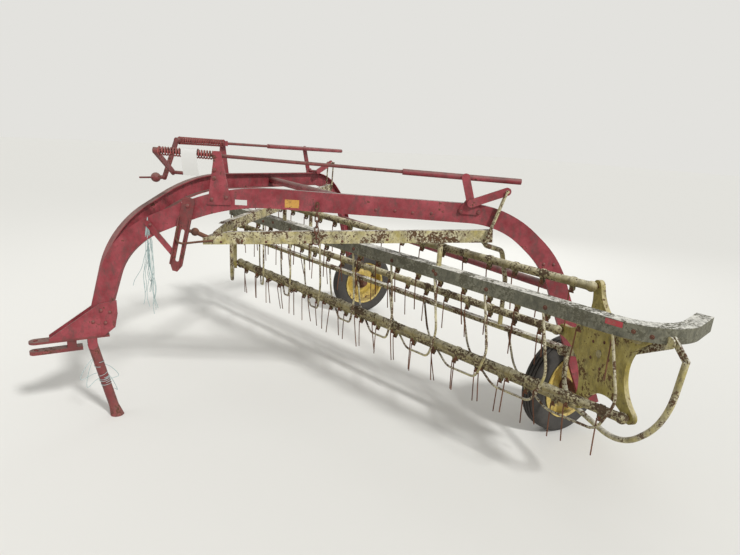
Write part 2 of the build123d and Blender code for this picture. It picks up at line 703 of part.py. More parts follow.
# Reel heads: pressed five-lobed plates with a rim flange, hub and bearing bosses
def star(angles, inset):
    """A head's outline, drawn in by inset: a disc with round notches between round-tipped lobes."""
    face = Circle(CRANK_RADIUS)
    for angle in angles:
        notch = Rot(0, 0, angle + 180 / BAR_COUNT) * Pos(HEAD_NOTCH_CENTRE, 0)
        face -= notch * Circle(HEAD_NOTCH_RADIUS + inset)
    for angle in angles:
        face += Rot(0, 0, angle) * Pos(CRANK_RADIUS, 0) * Circle(HEAD_LOBE_RADIUS - inset)
    return face


def head(origin, outward, hole):
    """A reel head. outward is -1 at the left end and 1 at the right."""
    inner = outward * (BAR_END_RADIUS + HEAD_GAP)
    angles = [FIRST_BAR_ANGLE + index * 360 / BAR_COUNT for index in range(BAR_COUNT)]
    tips = [(CRANK_RADIUS * cos(radians(a)), CRANK_RADIUS * sin(radians(a))) for a in angles]
    face = star(angles, 0)
    plane = head_plane(origin, inner)
    body = extrude(plane * face, outward * (HEAD_PLATE + HEAD_RIM))
    floor = head_plane(origin, inner + outward * HEAD_PLATE)
    body -= extrude(floor * star(angles, HEAD_PLATE), outward * HEAD_RIM)
    body += extrude(plane * Circle(HEAD_HUB_RADIUS), outward * (HEAD_PLATE + HEAD_RIM + 5))
    for x, y in tips:
        body += extrude(plane * Pos(x, y) * Circle(JOURNAL_RADIUS + 12), outward * (HEAD_PLATE + HEAD_RIM))
    for x, y in tips:
        body -= extrude(plane * Pos(x, y) * Circle(hole), outward * 60)
    body -= extrude(plane * Circle(HEAD_SHAFT_RADIUS), outward * 60)
    return fit(body)


nodes["reel_head_left"] = head(LEFT_HEAD, -1, JOURNAL_RADIUS)
nodes["reel_head_right"] = head(RIGHT_HEAD, 1, JOURNAL_RADIUS + FAR_JOURNAL_PLAY)

# End frames: flat arms from the beam through the head's shaft to the rail
head_depth = BAR_END_RADIUS + HEAD_GAP + HEAD_PLATE + HEAD_RIM + 5
frame_offset = head_depth + END_FRAME_GAP
spin_bar, spin_forward = SPIN.dot(BAR), SPIN.dot(FORWARD)


def plane_hit(offset, f, z):
    """Where a line along the bars at f and z meets a head's plane: across h and up z."""
    t = (offset - f * spin_forward) / spin_bar
    point = BAR * t + FORWARD * f + UP * z
    return point.dot(ACROSS), point.Z


for name, origin, outward in (("left", LEFT_HEAD, -1), ("right", RIGHT_HEAD, 1)):
    centre_offset = outward * (frame_offset + END_FRAME_PLATE / 2)
    plane = head_plane(origin, outward * frame_offset)
    thick = outward * END_FRAME_PLATE
    if outward == -1:
        front_h = 405
        front_z = BEAM_TOP - BEAM_HEIGHT
    else:
        front_h, front_z = plane_hit(centre_offset, BEAM_FRONT - BEAM_LIP / 2, BEAM_TOP - BEAM_HEIGHT)
    rear_h, rear_z = plane_hit(centre_offset, -RAIL_BACK, RAIL_TOP - RAIL_WALL)
    frame = strap(plane, (0, 0), (front_h, front_z), END_FRAME_WIDTH, thick)
    frame += strap(plane, (0, 0), (rear_h, rear_z - END_FRAME_WIDTH / 2), END_FRAME_WIDTH, thick)
    frame += extrude(plane * Circle(HEAD_HUB_RADIUS), thick)
    frame += extrude(
        head_plane(origin, outward * BAR_END_RADIUS) * Circle(HEAD_SHAFT_RADIUS - RUNNING_FIT),
        outward * (frame_offset - BAR_END_RADIUS + END_FRAME_PLATE),
    )
    nodes["end_frame_" + name] = fit(frame, beam, rail)

# End guards: bent tubes round the ends of the reel
for name, origin, guard_offset, rows in (
    ("left", LEFT_HEAD, -LEFT_GUARD_OFFSET, LEFT_GUARD_ROWS),
    ("right", RIGHT_HEAD, RIGHT_GUARD_OFFSET, RIGHT_GUARD_ROWS),
):
    rear_h, rear_z = plane_hit(guard_offset, -RAIL_BACK, RAIL_TOP - RAIL_WALL)
    points = [in_head(origin, h, z, guard_offset) for h, z, _ in rows]
    points[-1] = in_head(origin, rear_h, rows[-1][1], guard_offset)
    points.append(in_head(origin, rear_h, rear_z + 10, guard_offset))
    guard = wire_run(points, [row[2] for row in rows[1:]], GUARD_RADIUS)
    beam_h = 400 if guard_offset < 0 else plane_hit(guard_offset, BEAM_FRONT - BEAM_LIP / 2, 0)[0]
    guard += strap(
        head_plane(origin, guard_offset - 5),
        (rows[0][0], rows[0][1]),
        (beam_h, BEAM_TOP - BEAM_HEIGHT + 10),
        34,
        10,
    )
    nodes["end_guard_" + name] = fit(guard, beam, rail, nodes["end_frame_" + name])

# Posts and hangers between the draft arms and the basket
left_mid = left_arm_start - LEFT_NORMAL * ARM_WIDTH / 2
beam_centre = BEAM_FRONT - BEAM_FLANGE / 2
beam_line = in_basket(0, beam_centre, BEAM_TOP)
rail_line = in_basket(0, -RAIL_BACK, RAIL_TOP)
cross = crossing(beam_line, BAR, left_mid, left_along)
cross_top = crossing(left_mid, left_along, beam_line, BAR)
post = rod(cross - UP * 30, Vector(cross.X, cross.Y, cross_top.Z), HANGER_TUBE_RADIUS)
nodes["beam_post_left"] = fit(post, beam, nodes["draft_arm_left"])
right_mid = right_arm_start
cross = crossing(beam_line, BAR, right_mid, right_along)
cross_top = crossing(right_mid, right_along, beam_line, BAR)
post = rod(cross - UP * 30, Vector(cross.X, cross.Y, cross_top.Z), HANGER_TUBE_RADIUS)
nodes["beam_post_right"] = fit(post, beam, nodes["draft_arm_right"])
cross = crossing(rail_line, BAR, right_mid, right_along)
cross_top = crossing(right_mid, right_along, rail_line, BAR)
post = rod(cross - UP * 30, Vector(cross.X, cross.Y, cross_top.Z), HANGER_TUBE_RADIUS)
nodes["rail_post_right"] = fit(post, rail, nodes["draft_arm_right"])
relative = link_ends[1] - LEFT_HEAD
hanger_t = relative.dot(BAR)
arm_f = relative.dot(FORWARD)
arm_z = relative.Z - BAR.Z * hanger_t
hanger_points = [
    in_basket(hanger_t, arm_f, arm_z - ARM_DEPTH / 2 + 6),
    in_basket(hanger_t, arm_f - 40, 425),
    in_basket(hanger_t, -200, 375),
    in_basket(hanger_t, -RAIL_BACK, 180),
    in_basket(hanger_t, -RAIL_BACK, RAIL_TOP - 20),
]
hanger_tube = wire_run(hanger_points, (28, 60, 90), HANGER_TUBE_RADIUS)
nodes["rail_hanger_left"] = fit(hanger_tube, rail, nodes["draft_arm_left"], nodes["lift_link_left"])

nodes["strippers"] = Compound([fit(stripper, beam, rail) for stripper in strippers])

# Tooth bars: a tube with round ends, cranked journals, and spring teeth in clamps
for index in range(BAR_COUNT):
    a = radians(FIRST_BAR_ANGLE + index * 360 / BAR_COUNT)
    start = in_head(LEFT_HEAD, CRANK_RADIUS * cos(a), CRANK_RADIUS * sin(a))
    end = start + BAR * BAR_LENGTH
    bar = rod(start, end, BAR_RADIUS)
    journal = BAR_END_RADIUS + HEAD_GAP + HEAD_PLATE + HEAD_RIM + 4
    for tip, outward in ((start, -1), (end, 1)):
        bar += Pos(*tip) * Sphere(BAR_END_RADIUS)
        bar += rod(tip, tip + SPIN * outward * journal, JOURNAL_RADIUS - RUNNING_FIT)
    for tooth in range(TOOTH_COUNT):
        centre = start + BAR * (TOOTH_START + tooth * TOOTH_PITCH)
        clamp_plane = Plane(origin=centre, x_dir=FORWARD, z_dir=BAR)
        clamp = clamp_plane * Box(TOOTH_CLAMP, 2 * BAR_RADIUS + 18, TOOTH_CLAMP - 8)
        coil = Plane(origin=centre - UP * (BAR_RADIUS + TOOTH_COIL_RADIUS + 4), x_dir=FORWARD, z_dir=BAR)
        coil_prism = extrude(coil * RegularPolygon(TOOTH_COIL_RADIUS, 8), TOOTH_COIL_LENGTH / 2, both=True)
        tine_plane = Plane(origin=centre - UP * TOOTH_REACH, x_dir=FORWARD, z_dir=UP)
        tine = extrude(tine_plane * RegularPolygon(TOOTH_WIRE / 2, 6), TOOTH_REACH - BAR_RADIUS)
        bar = bar + [clamp, coil_prism, tine]
    nodes["tooth_bar_%d" % (index + 1)] = fit(bar)

# Chain on the left arch: oval links that hang free, with a ring on the end
link_length = CHAIN_INNER + 2 * CHAIN_WIRE
chain_top = on_arch(1, CHAIN_S, CHAIN_TOP_Z, 27)
chain_links = []
for index in range(CHAIN_LINKS):
    centre = chain_top - UP * (index * (CHAIN_INNER - CLEAR) + link_length / 2)
    facing = LEFT_NORMAL if index % 2 == 0 else LEFT_BACK
    plane = Plane(origin=centre - facing * CHAIN_WIRE / 2, x_dir=UP, z_dir=facing)
    face = SlotOverall(link_length, 12 + 2 * CHAIN_WIRE) - SlotOverall(CHAIN_INNER, 12)
    chain_links.append(extrude(plane * face, CHAIN_WIRE))
ring_centre = chain_top - UP * (CHAIN_LINKS * (CHAIN_INNER - CLEAR) + CHAIN_RING_RADIUS)
ring_facing = LEFT_NORMAL if CHAIN_LINKS % 2 == 0 else LEFT_BACK
chain_links.append(Plane(origin=ring_centre, z_dir=ring_facing) * Torus(CHAIN_RING_RADIUS, CHAIN_WIRE / 2))
bolt_z = CHAIN_TOP_Z - CHAIN_WIRE - CHAIN_BOLT_RADIUS - CLEAR
chain_links.append(rod(on_arch(1, CHAIN_S, bolt_z), on_arch(1, CHAIN_S, bolt_z, 45), CHAIN_BOLT_RADIUS))
nodes["chain"] = Compound(chain_links)

# Move everything so that the origin is on the ground under the middle of the rake
box = Compound(list(nodes.values())).bounding_box()
SHIFT = Vector(-(box.min.X + box.max.X) / 2, -(box.min.Y + box.max.Y) / 2, 0)
for name, shape in nodes.items():
    export_step(Pos(*SHIFT) * shape, "parts/%s.step" % name)
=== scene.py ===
import math

import bmesh
import bpy
import numpy as np
from mathutils import Matrix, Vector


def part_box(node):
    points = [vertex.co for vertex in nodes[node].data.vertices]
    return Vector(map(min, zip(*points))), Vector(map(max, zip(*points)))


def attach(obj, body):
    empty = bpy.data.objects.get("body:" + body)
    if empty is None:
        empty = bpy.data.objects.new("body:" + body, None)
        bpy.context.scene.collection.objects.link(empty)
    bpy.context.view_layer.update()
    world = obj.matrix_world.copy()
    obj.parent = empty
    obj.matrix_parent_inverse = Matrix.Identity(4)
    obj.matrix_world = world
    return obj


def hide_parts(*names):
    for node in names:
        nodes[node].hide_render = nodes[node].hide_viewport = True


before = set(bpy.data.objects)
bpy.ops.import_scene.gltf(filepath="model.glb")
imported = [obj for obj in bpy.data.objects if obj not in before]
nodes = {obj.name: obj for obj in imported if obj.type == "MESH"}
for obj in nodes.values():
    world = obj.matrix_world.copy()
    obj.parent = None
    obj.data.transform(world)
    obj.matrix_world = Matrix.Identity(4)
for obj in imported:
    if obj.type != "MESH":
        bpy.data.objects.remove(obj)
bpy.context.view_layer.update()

# Floor: a studio floor in matt pale paint, wide enough that its edge is out of sight.
# It only takes the rake's shadow, and isn't part of it.
FLOOR_HALF = 60.0
FLOOR_COLOUR, FLOOR_ROUGHNESS = "#DDDCD7", 0.95
floor_corners = [(x * FLOOR_HALF, y * FLOOR_HALF, 0) for x, y in ((-1, -1), (1, -1), (1, 1), (-1, 1))]
floor_mesh = bpy.data.meshes.new("studio_floor")
floor_mesh.from_pydata(floor_corners, [], [(0, 1, 2, 3)])
floor = bpy.data.objects.new("studio_floor", floor_mesh)
bpy.context.scene.collection.objects.link(floor)


def linear(code):
    """An sRGB hex colour as linear red, green, blue and alpha: below 0.04045 a value is divided by
    12.92, and above it (value + 0.055) / 1.055 is raised to 2.4."""
    values = np.array([int(code[i:i + 2], 16) for i in (1, 3, 5)]) / 255
    lin = np.where(values <= 0.04045, values / 12.92, ((values + 0.055) / 1.055) ** 2.4)
    return (*[float(v) for v in lin], 1.0)


def add(holder, kind, links=(), inputs=None, **settings):
    """Adds one node to a material or world, sets its attributes and inputs, and links it by
    (input here, node, output there)."""
    tree = holder.node_tree
    node = tree.nodes.new(kind)
    for name, value in settings.items():
        setattr(node, name, value)
    for name, value in (inputs or {}).items():
        node.inputs[name].default_value = value
    for here, other, output in links:
        tree.links.new(other.outputs[output], node.inputs[here])
    return node


def new_material(name):
    """An empty node material."""
    material = bpy.data.materials.new(name)
    material.use_nodes = True
    material.node_tree.nodes.clear()
    return material


# Rolled emulsion paint, quite without gloss: the shadow on it stays soft and clean.
floor_paint = new_material("matt pale floor paint")
floor_skin = add(floor_paint, "ShaderNodeBsdfPrincipled",
                 inputs={"Base Color": linear(FLOOR_COLOUR), "Roughness": FLOOR_ROUGHNESS})
add(floor_paint, "ShaderNodeOutputMaterial", [(0, floor_skin, 0)])
floor.data.materials.append(floor_paint)

# Studio light: a pale even surround, a soft key light high on the left, on the side that is lit
# in the photograph, and two weak fills. Behind the floor stands a plain pale backdrop, which
# gloss and glass show too.
SURROUND_COLOUR, SURROUND_STRENGTH = "#EEEEEC", 0.62
BACKDROP_COLOUR = "#E3E2DE"
world = bpy.data.worlds.new("pale studio")
bpy.context.scene.world = world
world.use_nodes = True
world.node_tree.nodes.clear()
surround = add(world, "ShaderNodeBackground",
               inputs={"Color": linear(SURROUND_COLOUR), "Strength": SURROUND_STRENGTH})
backdrop = add(world, "ShaderNodeBackground", inputs={"Color": linear(BACKDROP_COLOUR)})
ray = add(world, "ShaderNodeLightPath")
direct = add(world, "ShaderNodeMath", [(0, ray, "Is Camera Ray"), (1, ray, "Is Glossy Ray")],
             operation="MAXIMUM")
shown = add(world, "ShaderNodeMath", [(0, direct, 0), (1, ray, "Is Transmission Ray")],
            operation="MAXIMUM")
choice = add(world, "ShaderNodeMixShader", [(0, shown, 0), (1, surround, 0), (2, backdrop, 0)])
add(world, "ShaderNodeOutputWorld", [(0, choice, 0)])
# name, kind, place in metres (for the key only its direction counts), energy
LAMPS = (
    ("key", "SUN", (-0.134, 0.758, 0.639), 2.5),
    ("fill", "AREA", (-4.5, -4.5, 4.0), 90),
    ("front", "AREA", (6.5, -1.5, 3.5), 60),
)
KEY_SOFTNESS, FILL_SIZE = math.radians(7), 4.0
for name, kind, place, energy in LAMPS:
    lamp_data = bpy.data.lights.new(name, kind)
    lamp_data.energy = energy
    if kind == "SUN":
        lamp_data.angle = KEY_SOFTNESS
    else:
        lamp_data.size = FILL_SIZE
    lamp = bpy.data.objects.new(name, lamp_data)
    bpy.context.scene.collection.objects.link(lamp)
    lamp.location = place
    aim = -np.array(place)
    tilt = math.atan2(math.hypot(aim[0], aim[1]), -aim[2])
    lamp.rotation_euler = (tilt, 0, math.atan2(aim[1], aim[0]) - math.pi / 2)
bpy.context.scene.view_settings.view_transform = "Standard"

# Camera: a telephone held at head height beyond the left front corner, tilted down and a little
# askew. Its place, like that of every added piece, is in millimetres from the point on the
# ground under the middle of the axle line: X forward, Y left, Z up. Angles are in radians.
left_low, left_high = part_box("tyre_left")
right_low, right_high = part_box("tyre_right")
AXLE = np.array([
    (left_low.x + left_high.x) / 2,
    (left_low.y + left_high.y + right_low.y + right_high.y) / 4,
    0.0,
])


def metres(points):
    """Millimetres from the axle line to metres in the scene: divided by 1000, plus the axle."""
    return np.asarray(points, float) / 1000 + AXLE


CAMERA_PLACE = (2834, 3546, 1810)
CAMERA_TURN, CAMERA_DOWN, CAMERA_ROLL = -0.54005, 0.24925, 0.05581
CAMERA_LENS, CAMERA_SENSOR, CAMERA_REACH = 26.757, 36, 300
look = np.array([
    math.sin(CAMERA_TURN) * math.cos(CAMERA_DOWN),
    -math.cos(CAMERA_TURN) * math.cos(CAMERA_DOWN),
    -math.sin(CAMERA_DOWN),
])
level = np.array([-math.cos(CAMERA_TURN), -math.sin(CAMERA_TURN), 0.0])
upright = np.cross(level, look)
camera_data = bpy.data.cameras.new("camera")
camera_data.lens = CAMERA_LENS
camera_data.sensor_width = CAMERA_SENSOR
camera_data.clip_end = CAMERA_REACH
camera = bpy.data.objects.new("camera", camera_data)
bpy.context.scene.collection.objects.link(camera)
pose = np.eye(4)
pose[:3, 0] = level * math.cos(CAMERA_ROLL) + upright * math.sin(CAMERA_ROLL)
pose[:3, 1] = -level * math.sin(CAMERA_ROLL) + upright * math.cos(CAMERA_ROLL)
pose[:3, 2] = -look
pose[:3, 3] = metres(CAMERA_PLACE)
camera.matrix_world = Matrix(pose.tolist())
bpy.context.scene.camera = camera

# Frame: bent channels, hitch plates and brackets in sheet steel, welded and bolted, brushed with
# red alkyd enamel. Decades outdoors have chalked it to a dusty rose, mottled it with grey-brown
# grime along the upper edges and opened brown rust at scratches.
RED_FRESH, RED_CHALKED, RED_DUST = "#761F27", "#9A434A", "#7A5F58"
RUST_DARK, RUST_LIGHT, GRIME = "#33201A", "#6E452E", "#4C3B36"
# Patterns of old enamel in millimetres: clouds of bleaching, seven to the metre, grit of chalk and
# rust, and stains drawn out downwards. The real grit is far too fine to show, so it is drawn ten
# millimetres wide, and the paint's edge 1.5 mm high.
CLOUD_MM, GRIT_MM = 142.86, 10.526
STAIN_ACROSS_MM, STAIN_DOWN_MM = 41.667, 71.429
STAIN_HIGH, STAIN_FALL, STAIN_FULL, STAIN_MOST = 0.58, 0.13, 0.68, 0.85
FLECK_HIGH, FLECK_FALL, FLECK_EDGE, FLECK_CELL = 1.26, 0.3, 0.05, 0.7
PAINT_STEP_M, RUST_ROUGHNESS = 0.0015, 0.92


def old_paint(name, fresh, faded, dust, stain, flecks, stains, fleck_mm=12, rough=0.6,
              rust=(RUST_DARK, RUST_LIGHT)):
    """Old enamel over steel. A cloud noise mixes the fresh and the faded tint. Dust lies by the
    upward part of the surface's normal times grit plus cloud. Stains come where a stretched noise
    is high, and rust where fleck noise plus cloud passes an edge. flecks and stains, from 0 up,
    lower those two edges. The rust is pitted below the paint."""
    material = new_material(name)
    place = add(material, "ShaderNodeTexCoord")
    cloud = add(material, "ShaderNodeTexNoise", [("Vector", place, "Object")],
                {"Scale": 1000 / CLOUD_MM, "Detail": 7.0, "Roughness": 0.68})
    spread = add(material, "ShaderNodeMapRange", [("Value", cloud, "Fac")],
                 {"From Min": 0.36, "From Max": 0.64})
    tint = add(material, "ShaderNodeMix", [(0, spread, 0)],
               {6: linear(fresh), 7: linear(faded)}, data_type="RGBA")
    grit = add(material, "ShaderNodeTexNoise", [("Vector", place, "Object")],
               {"Scale": 1000 / GRIT_MM, "Detail": 6.0, "Roughness": 0.75})
    facing = add(material, "ShaderNodeNewGeometry")
    split = add(material, "ShaderNodeSeparateXYZ", [(0, facing, "Normal")])
    film = add(material, "ShaderNodeMath", [(0, grit, "Fac"), (1, cloud, "Fac")], operation="ADD")
    upward = add(material, "ShaderNodeMath", [(0, split, "Z"), (1, film, 0)],
                 operation="MULTIPLY", use_clamp=True)
    dusty = add(material, "ShaderNodeMix", [(0, upward, 0), (6, tint, 2)],
                {7: linear(dust)}, data_type="RGBA")
    squeeze = add(material, "ShaderNodeMapping", [("Vector", place, "Object")],
                  {"Scale": (1000 / STAIN_ACROSS_MM, 1000 / STAIN_ACROSS_MM, 1000 / STAIN_DOWN_MM)})
    mottle = add(material, "ShaderNodeTexNoise", [("Vector", squeeze, 0)],
                 {"Scale": 1.0, "Detail": 10.0, "Roughness": 0.78})
    soft = add(material, "ShaderNodeMapRange", [("Value", mottle, "Fac")],
               {"From Min": STAIN_HIGH - STAIN_FALL * stains, "From Max": STAIN_FULL, "To Max": STAIN_MOST})
    stained = add(material, "ShaderNodeMix", [(0, soft, 0), (6, dusty, 2)],
                  {7: linear(stain)}, data_type="RGBA")
    spots = add(material, "ShaderNodeTexNoise", [("Vector", place, "Object")],
                {"Scale": 1000 * FLECK_CELL / fleck_mm, "Detail": 7.0, "Roughness": 0.7})
    patches = add(material, "ShaderNodeMath", [(0, spots, "Fac"), (1, cloud, "Fac")], operation="ADD")
    edge = FLECK_HIGH - FLECK_FALL * flecks
    fleck = add(material, "ShaderNodeMapRange", [("Value", patches, 0)],
                {"From Min": edge, "From Max": edge + FLECK_EDGE})
    rusty = add(material, "ShaderNodeMix", [(0, grit, "Fac")],
                {6: linear(rust[0]), 7: linear(rust[1])}, data_type="RGBA")
    colour = add(material, "ShaderNodeMix", [(0, fleck, 0), (6, stained, 2), (7, rusty, 2)], data_type="RGBA")
    height = add(material, "ShaderNodeMath", [(0, grit, "Fac"), (1, fleck, 0)], operation="SUBTRACT")
    bump = add(material, "ShaderNodeBump", [("Height", height, 0)],
               {"Strength": 0.45, "Distance": PAINT_STEP_M})
    dull = add(material, "ShaderNodeMapRange", [("Value", fleck, 0)],
               {"To Min": rough, "To Max": RUST_ROUGHNESS})
    skin = add(material, "ShaderNodeBsdfPrincipled",
               [("Base Color", colour, 2), ("Roughness", dull, 0), ("Normal", bump, 0)])
    add(material, "ShaderNodeOutputMaterial", [(0, skin, 0)])
    return material


def paint(names, material):
    """Gives each named CAD piece one material."""
    for node in names:
        data = nodes[node].data
        data.materials.clear()
        data.materials.append(material)


# Brushed enamel, chalked: a dull dusty rose in clouds, with grey-brown stains and few rust flecks.
red_enamel = old_paint("weathered red enamel", RED_FRESH, RED_CHALKED, RED_DUST, GRIME, 0.26, 0.8,
                       fleck_mm=16)
paint([
    "arch_left", "arch_right", "hitch_plate_left", "hitch_plate_right", "lift_guide_left", "lift_guide_right",
    "bell_bracket_left", "bell_bracket_right", "bell_crank_left", "bell_crank_right", "hanger_brace",
    "stand_bracket", "brace_tube_front", "brace_tube_rear", "lift_sleeve_left", "lift_sleeve_right",
], red_enamel)
# The same enamel where hitching, cranking and hay rub it: browner, and half worn to rust.
red_rubbed = old_paint("red enamel rubbed by hands and hay", "#672627", "#86413F", "#73564D", GRIME,
                       0.55, 0.85, fleck_mm=12)
paint([
    "tongue", "drawbar_strap", "drawbar_spacer", "parking_stand", "hanger", "lift_rod_left", "lift_rod_right",
    "crank_left", "crank_right",
], red_rubbed)

# Bolts of the frame: carriage bolts with round heads through the hitch plates and the guide
# plates, painted over with the frame, and hexagon heads on the brackets. Their places are read
# along the upright plane of each arch.
APEX_X, SPLAY = 2658, math.radians(30.1)


def arch(side, s, z, off=0):
    """Millimetres from the axle line of the point s back from the hitch in an arch's plane, at
    height z, and off outside its web: apex - s along the plane + off along its normal."""
    s, z, off = np.broadcast_arrays(np.asarray(s, float), z, off)
    x = APEX_X - s * math.cos(SPLAY) + off * math.sin(SPLAY)
    y = side * (s * math.sin(SPLAY) + off * math.cos(SPLAY))
    return np.stack([x, y, z], -1)


def outward(side):
    """The unit normal of an arch's web, pointing away from the machine's middle."""
    return np.array([math.sin(SPLAY), side * math.cos(SPLAY), 0.0])


def grid_faces(rows, columns):
    """Quads of a grid of points that closes on itself along its columns, as indices: each joins
    a point, its neighbour in the row, and the same two in the next row."""
    i, j = np.meshgrid(np.arange(rows - 1), np.arange(columns), indexing="ij")
    k = (j + 1) % columns
    quads = np.stack([i * columns + j, i * columns + k, (i + 1) * columns + k, (i + 1) * columns + j], -1)
    return quads.reshape(-1, 4)


def turned(profile, centre, axis, sides):
    """A turned shape: each (radius, height) of the profile goes round the axis from centre.
    Point = centre + axis * height + radius * (cos * across + sin * up)."""
    axis = np.asarray(axis, float) / np.linalg.norm(axis)
    helper = np.array([0.0, 0.0, 1.0]) if abs(axis[2]) < 0.9 else np.array([1.0, 0.0, 0.0])
    across = np.cross(helper, axis)
    across /= np.linalg.norm(across)
    up = np.cross(axis, across)
    radius, height = np.array(profile, float).T
    angle = np.arange(sides) * 2 * math.pi / sides
    ring = np.cos(angle)[:, None] * across + np.sin(angle)[:, None] * up
    points = np.asarray(centre) + height[:, None, None] * axis + radius[:, None, None] * ring[None]
    return points.reshape(-1, 3), grid_faces(len(profile), sides)


MERGE_M, SHARP_ANGLE = 0.00003, 0.6


def close_and_shade(mesh):
    """Merges coincident points, so that poles and seams close, turns the faces outwards, and
    shades them smooth up to edges sharper than SHARP_ANGLE in radians."""
    work = bmesh.new()
    work.from_mesh(mesh)
    bmesh.ops.remove_doubles(work, verts=work.verts, dist=MERGE_M)
    bmesh.ops.recalc_face_normals(work, faces=work.faces)
    for face in work.faces:
        face.smooth = True
    for rim in work.edges:
        if len(rim.link_faces) == 2 and rim.calc_face_angle(0) > SHARP_ANGLE:
            rim.smooth = False
    work.to_mesh(mesh)
    work.free()


def piece(name, parts, materials, body, replaces=()):
    """One object from parts of (points in mm, quads, material number), which rides on a body."""
    points, faces, slots, start = [], [], [], 0
    for verts, quads, slot in parts:
        points.append(verts)
        faces.append(quads + start)
        slots.append(np.full(len(quads), slot))
        start += len(verts)
    mesh = bpy.data.meshes.new(name)
    mesh.from_pydata(metres(np.concatenate(points)).tolist(), [], np.concatenate(faces).tolist())
    for material in materials:
        mesh.materials.append(material)
    mesh.polygons.foreach_set("material_index", np.concatenate(slots).astype(np.int32))
    mesh.validate()
    obj = bpy.data.objects.new(name, mesh)
    bpy.context.scene.collection.objects.link(obj)
    close_and_shade(mesh)
    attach(obj, body)
    for node in replaces:
        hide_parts(node)


# Profiles of heads as (radius, height) in shares of the head's radius, and how far a hexagon
# head stands off its face on the washer.
DOME = [(0, 0.62), (0.5, 0.54), (0.85, 0.32), (1.0, 0.0), (1.0, -0.1)]
HEX = [(0, 0.72), (0.8, 0.72), (1.0, 0.6), (1.0, 0.0)]
WASHER = [(0, 0.16), (1.35, 0.16), (1.4, 0.0), (1.4, -0.1)]
ROUND_SIDES, HEX_LIFT = 12, 0.15


def fastener(kind, centre, axis, radius):
    """A bolt's head on a face at centre: a turned dome, or a turned six-sided head on a washer.
    Each is its profile times the radius."""
    axis = np.asarray(axis, float) / np.linalg.norm(axis)
    if kind == "round":
        return [(*turned(np.array(DOME) * radius, centre, axis, ROUND_SIDES), 0)]
    head = turned(np.array(HEX) * radius, np.asarray(centre) + axis * HEX_LIFT * radius, axis, sides=6)
    return [(*head, 0), (*turned(np.array(WASHER) * radius, centre, axis, ROUND_SIDES), 0)]


# side, s, z, height above the web, radius, head
FRAME_BOLTS = [
    (1, 72, 716, 9, 12, "round"), (1, 126, 710, 9, 11, "round"), (1, 96, 640, 9, 12, "round"),
    (1, 746, 1418, 8, 12, "round"), (1, 829, 1432, 8, 12, "round"),
    (1, 764, 1656, 8, 8, "hex"), (1, 763, 1584, 8, 13, "round"), (1, 762, 1539, 8, 13, "round"),
    (1, 1685, 1408, 0, 9, "round"), (1, 1795, 1408, 0, 9, "round"), (1, 1896, 1402, 0, 9, "round"),
    (1, 2005, 1405, 0, 9, "round"), (1, 2690, 1141, 0, 10, "round"), (1, 2748, 1142, 0, 10, "round"),
    (1, 2170, 1426, 10, 10, "hex"), (1, 2272, 1426, 10, 10, "hex"), (1, 388, 1251, 8, 11, "round"),
    (1, 509, 1090, 8, 9, "round"), (1, 608, 1373, 7, 13, "round"),
    (-1, 72, 716, 9, 12, "round"), (-1, 126, 710, 9, 11, "round"), (-1, 96, 640, 9, 12, "round"),
    (-1, 1090, 1424, 8, 12, "round"), (-1, 1170, 1424, 8, 12, "round"), (-1, 1112, 1560, 8, 13, "round"),
    (-1, 1112, 1610, 8, 13, "round"), (-1, 2160, 1426, 10, 10, "hex"), (-1, 2262, 1426, 10, 10, "hex"),
    (-1, 2690, 1141, 0, 10, "round"), (-1, 2748, 1142, 0, 10, "round"), (-1, 1685, 1408, 0, 9, "round"),
    (-1, 1896, 1402, 0, 9, "round"),
]
# the bolt through the front wings of the hitch plates: x, distance from the middle, z, radius
WING_BOLT_X, WING_BOLT_Y, WING_BOLT_Z, WING_BOLT_RADIUS = 2645, 38.1, 648, 12
bolts = []
for side, s, z, off, radius, kind in FRAME_BOLTS:
    bolts += fastener(kind, arch(side, s, z, off), outward(side), radius)
for side in (1, -1):
    wing_bolt = (WING_BOLT_X, side * WING_BOLT_Y, WING_BOLT_Z)
    bolts += fastener("round", wing_bolt, (0, side, 0), WING_BOLT_RADIUS)
piece("frame_bolts", bolts, [red_rubbed], "frame")

# Relief springs: cold-wound spring steel, 8 mm wire, threaded over each lift screw between a
# seat ring behind its crank and the guide block, painted once with the frame.
WIRE_RADIUS, COIL_RADIUS, WIRE_PITCH, POINTS_A_TURN = 4, 22, 16.0, 14
SCREW_OFF, BLOCK_HALF = -20, 18.3
SEAT_BACK, SEAT_RADIUS, SEAT_THICKNESS = 22, 26, 5
# name, side, screw's front s, guide block's s, screw's rear s, front z, rear z
SCREW_ROWS = (
    ("left", 1, 430, 775, 2503, 1674, 1610),
    ("right", -1, 690, 1120, 2694, 1722, 1665),
)
# Drawn steel wire with the rest of a coat of enamel: brown rust through a pale, patchy red.
spring_steel = old_paint("rusty red spring steel", "#8A3A38", "#A85450", "#7F5348", "#4A2A24", 0.5, 0.6,
                         fleck_mm=9)


def wire(path, radius, sides):
    """A round wire along a path of points: a ring of the radius stands square to the path at each
    point, and closes to a point at both ends. The rings' first direction is the path's direction
    crossed with one fixed slanting direction, and the second is the path crossed with the first."""
    path = np.asarray(path, float)
    along = np.gradient(path, axis=0)
    along /= np.linalg.norm(along, axis=1)[:, None]
    slanting = np.array([0.31, 0.45, 0.84])
    first = np.cross(along, slanting)
    first /= np.linalg.norm(first, axis=1)[:, None]
    second = np.cross(along, first)
    angle = np.arange(sides) * 2 * math.pi / sides
    ring = np.cos(angle)[None, :, None] * first[:, None] + np.sin(angle)[None, :, None] * second[:, None]
    points = path[:, None] + radius * ring
    points = np.concatenate([path[:1, None].repeat(sides, 1), points, path[-1:, None].repeat(sides, 1)])
    return points.reshape(-1, 3), grid_faces(len(path) + 2, sides)


